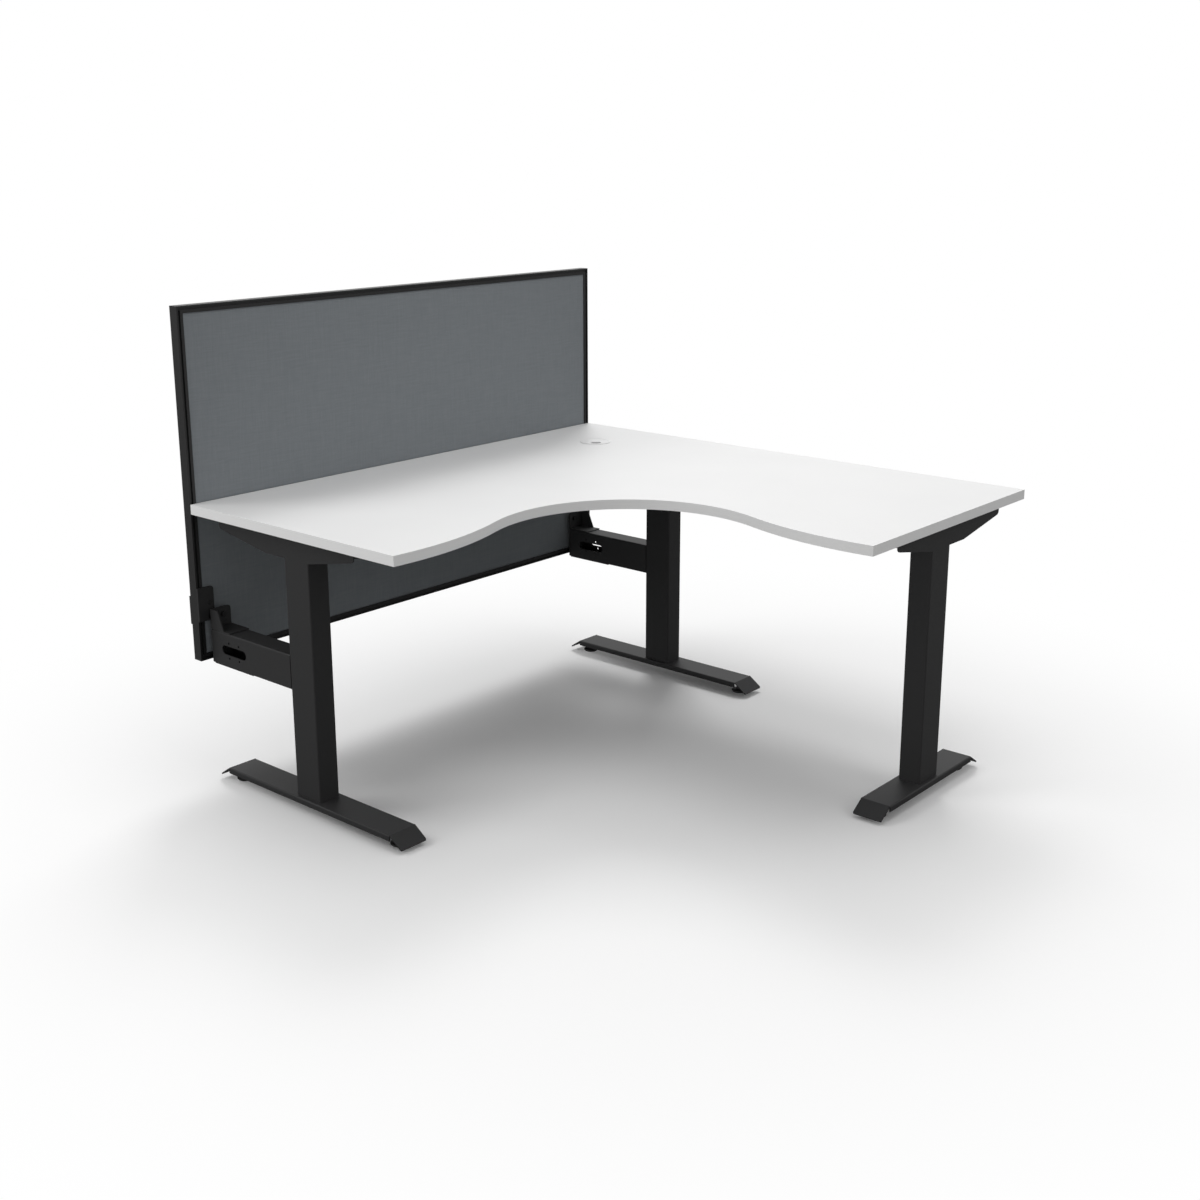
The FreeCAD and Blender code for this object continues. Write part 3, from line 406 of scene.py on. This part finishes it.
def stretched_cloth(name, node, outward):
    """Sheet on the core, in the place of a node that is on its front or, with outward at -1, on its back."""
    low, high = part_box(node)
    seat = low.x if outward > 0 else high.x
    shape = bmesh.new()
    corners = [(low.y, low.z), (high.y, low.z), (high.y, high.z), (low.y, high.z)]
    rim = [shape.verts.new((seat, y, z)) for y, z in corners[::outward]]
    face = shape.faces.new(rim)
    face.normal_update()
    for inset, height in ROLL_STEPS:
        if inset:
            bmesh.ops.inset_region(shape, faces=[face], thickness=inset * MM, use_boundary=True,
                                   use_even_offset=True)
        for vert in face.verts:
            vert.co.x = seat + outward * height * MM
    bmesh.ops.subdivide_edges(shape, edges=shape.edges[:], cuts=GRID_CUTS, use_grid_fill=True)
    mesh = bpy.data.meshes.new(name)
    shape.to_mesh(mesh)
    shape.free()
    for polygon in mesh.polygons:
        polygon.use_smooth = True
    piece = bpy.data.objects.new(name, mesh)
    bpy.context.scene.collection.objects.link(piece)
    mesh.materials.append(FINISHES["grey_fabric"].material)
    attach(piece, "desk")
    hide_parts(node)
    print("%s: %.3f by %.3f m, %d faces" % (name, high.y - low.y, high.z - low.z, len(mesh.polygons)))


stretched_cloth("screen_cloth_front", "screen_fabric_front", 1)
stretched_cloth("screen_cloth_back", "screen_fabric_back", -1)

# %% [markdown]
# ## Floor
# The picture has a pale floor that runs out into white with no horizon. A wide disc does for the floor. The
# camera sees it as pure white times the light that reaches it, so it keeps every soft shadow, and away from
# the desk it fades into the same white as the world behind it. Light that bounces off it meets a darker
# grey, so the underside of the desk isn't lit up by a floor that is only white to the camera.

# %% Make the floor
FLOOR_RADIUS = 40.0
FLOOR_SEGMENTS = 96
FADE_START, FADE_END = 0.6, 2.1
FLOOR_BOUNCE, FLOOR_SEEN = 0.30, 1.0


def make_floor():
    shape = bmesh.new()
    bmesh.ops.create_circle(shape, cap_ends=True, segments=FLOOR_SEGMENTS, radius=FLOOR_RADIUS)
    mesh = bpy.data.meshes.new("floor")
    shape.to_mesh(mesh)
    shape.free()
    floor = bpy.data.objects.new("floor", mesh)
    bpy.context.scene.collection.objects.link(floor)
    paint = Finish("pale_floor")
    seen = paint.add("ShaderNodeLightPath", out="Is Camera Ray")
    reach = paint.add("ShaderNodeVectorMath", {"operation": "LENGTH"}, {0: paint.place}, out="Value")
    fade = paint.add("ShaderNodeMapRange", {"interpolation_type": "SMOOTHSTEP"},
                     {"Value": reach, "From Min": FADE_START, "From Max": FADE_END})
    paint.surface({
        "Base Color": paint.blend(seen, grey(FLOOR_BOUNCE), grey(FLOOR_SEEN)),
        "Roughness": 0.9,
        "Specular IOR Level": 0.0,
    })
    matt = Flow(paint, paint.shader.outputs[0])
    white = paint.add("ShaderNodeEmission", None, {"Color": grey(1.0), "Strength": 1.0})
    look = paint.add("ShaderNodeMixShader", None, {0: fade * seen, 1: matt, 2: white})
    paint.plug(look, paint.tree.nodes["Material Output"].inputs["Surface"])
    mesh.materials.append(paint.material)


make_floor()
print("floor: %.0f m across" % (2 * FLOOR_RADIUS))

# %% [markdown]
# ## Light
# The object stands in a bright tent: light comes from everywhere. A key lamp high up behind the screen throws
# the screen's soft shadow on the board, and an overhead lamp throws the desk's shadow on the floor straight
# under it. A lamp on each side and a wide low fill lamp lighten the upright faces that the tent leaves too
# dark. The world is white to the camera and to reflections, and less than half as bright as a source of
# light, so that the lamps' shadows can be told apart.

# %% Set the world and the lamps
AMBIENT = 0.395
LAMP_AIM = (0.0, 0.0, 0.4)
LAMPS = [
    # name, place, size, power in watts
    ("key_lamp", (-4.2, 5.1, 8.4), (3.4, 3.4), 350.0),
    ("overhead_lamp", (0.6, 0.0, 4.6), (2.4, 2.4), 39.0),
    ("side_lamp", (-5.0, -5.0, 6.0), (3.4, 3.4), 140.0),
    ("right_lamp", (8.0, 0.0, 5.0), (3.4, 3.4), 60.0),
    ("fill_lamp", (-1.2, -4.4, 0.8), (3.0, 1.2), 32.0),
]


def make_world():
    world = bpy.data.worlds.new("white_tent")
    world.use_nodes = True
    bpy.context.scene.world = world
    tent = Graph(world.node_tree)
    sky = tent.tree.nodes["Background"]
    camera = tent.add("ShaderNodeLightPath", out="Is Camera Ray")
    glossy = tent.add("ShaderNodeLightPath", out="Is Glossy Ray")
    through = tent.add("ShaderNodeLightPath", out="Is Transmission Ray")
    seen = camera + glossy + through
    level = tent.add("ShaderNodeMapRange", None, {"Value": seen, "To Min": AMBIENT, "To Max": 1.0})
    tent.plug(grey(1.0), sky.inputs["Color"])
    tent.plug(level, sky.inputs["Strength"])


def make_lamp(name, place, size, power):
    lamp = bpy.data.lights.new(name, "AREA")
    lamp.shape = "RECTANGLE"
    lamp.size, lamp.size_y = size
    lamp.energy = power
    holder = bpy.data.objects.new(name, lamp)
    bpy.context.scene.collection.objects.link(holder)
    holder.location = place
    aim = Vector(LAMP_AIM) - Vector(place)
    holder.rotation_euler = aim.to_track_quat("-Z", "Y").to_euler()
    holder.visible_camera = False


make_world()
for lamp in LAMPS:
    make_lamp(*lamp)
print("lamps: %d, ambient %.2f" % (len(LAMPS), AMBIENT))

# %% [markdown]
# ## Camera
# The lens, the viewing angle and the shift were worked out from the straight edges of the desk in the
# photograph. The picture is square, and the middle of the lens lies a little above the picture's middle, so
# a small shift puts it there.

# %% Set the camera
PICTURE_PIXELS = 1200
SENSOR = 36.0
FOCAL_PIXELS = 1525.77
LENS_MIDDLE = (605.93, 545.13)
AZIMUTH, ELEVATION, ROLL = 40.572, 14.78, 0.052
CAMERA_PLACE = (2.4545, -2.88022, 1.59851)


def make_camera():
    data = bpy.data.cameras.new("camera")
    data.sensor_width = SENSOR
    data.lens = FOCAL_PIXELS / PICTURE_PIXELS * SENSOR
    data.shift_x = 0.5 - LENS_MIDDLE[0] / PICTURE_PIXELS
    data.shift_y = LENS_MIDDLE[1] / PICTURE_PIXELS - 0.5
    camera = bpy.data.objects.new("camera", data)
    bpy.context.scene.collection.objects.link(camera)
    camera.location = CAMERA_PLACE
    camera.rotation_euler = (math.radians(90 - ELEVATION), math.radians(ROLL), math.radians(AZIMUTH))
    bpy.context.scene.camera = camera
    return data


lens = make_camera()
bpy.context.scene.view_settings.view_transform = "Standard"
print("camera: %.2f mm lens, shift %.4f %.4f" % (lens.lens, lens.shift_x, lens.shift_y))
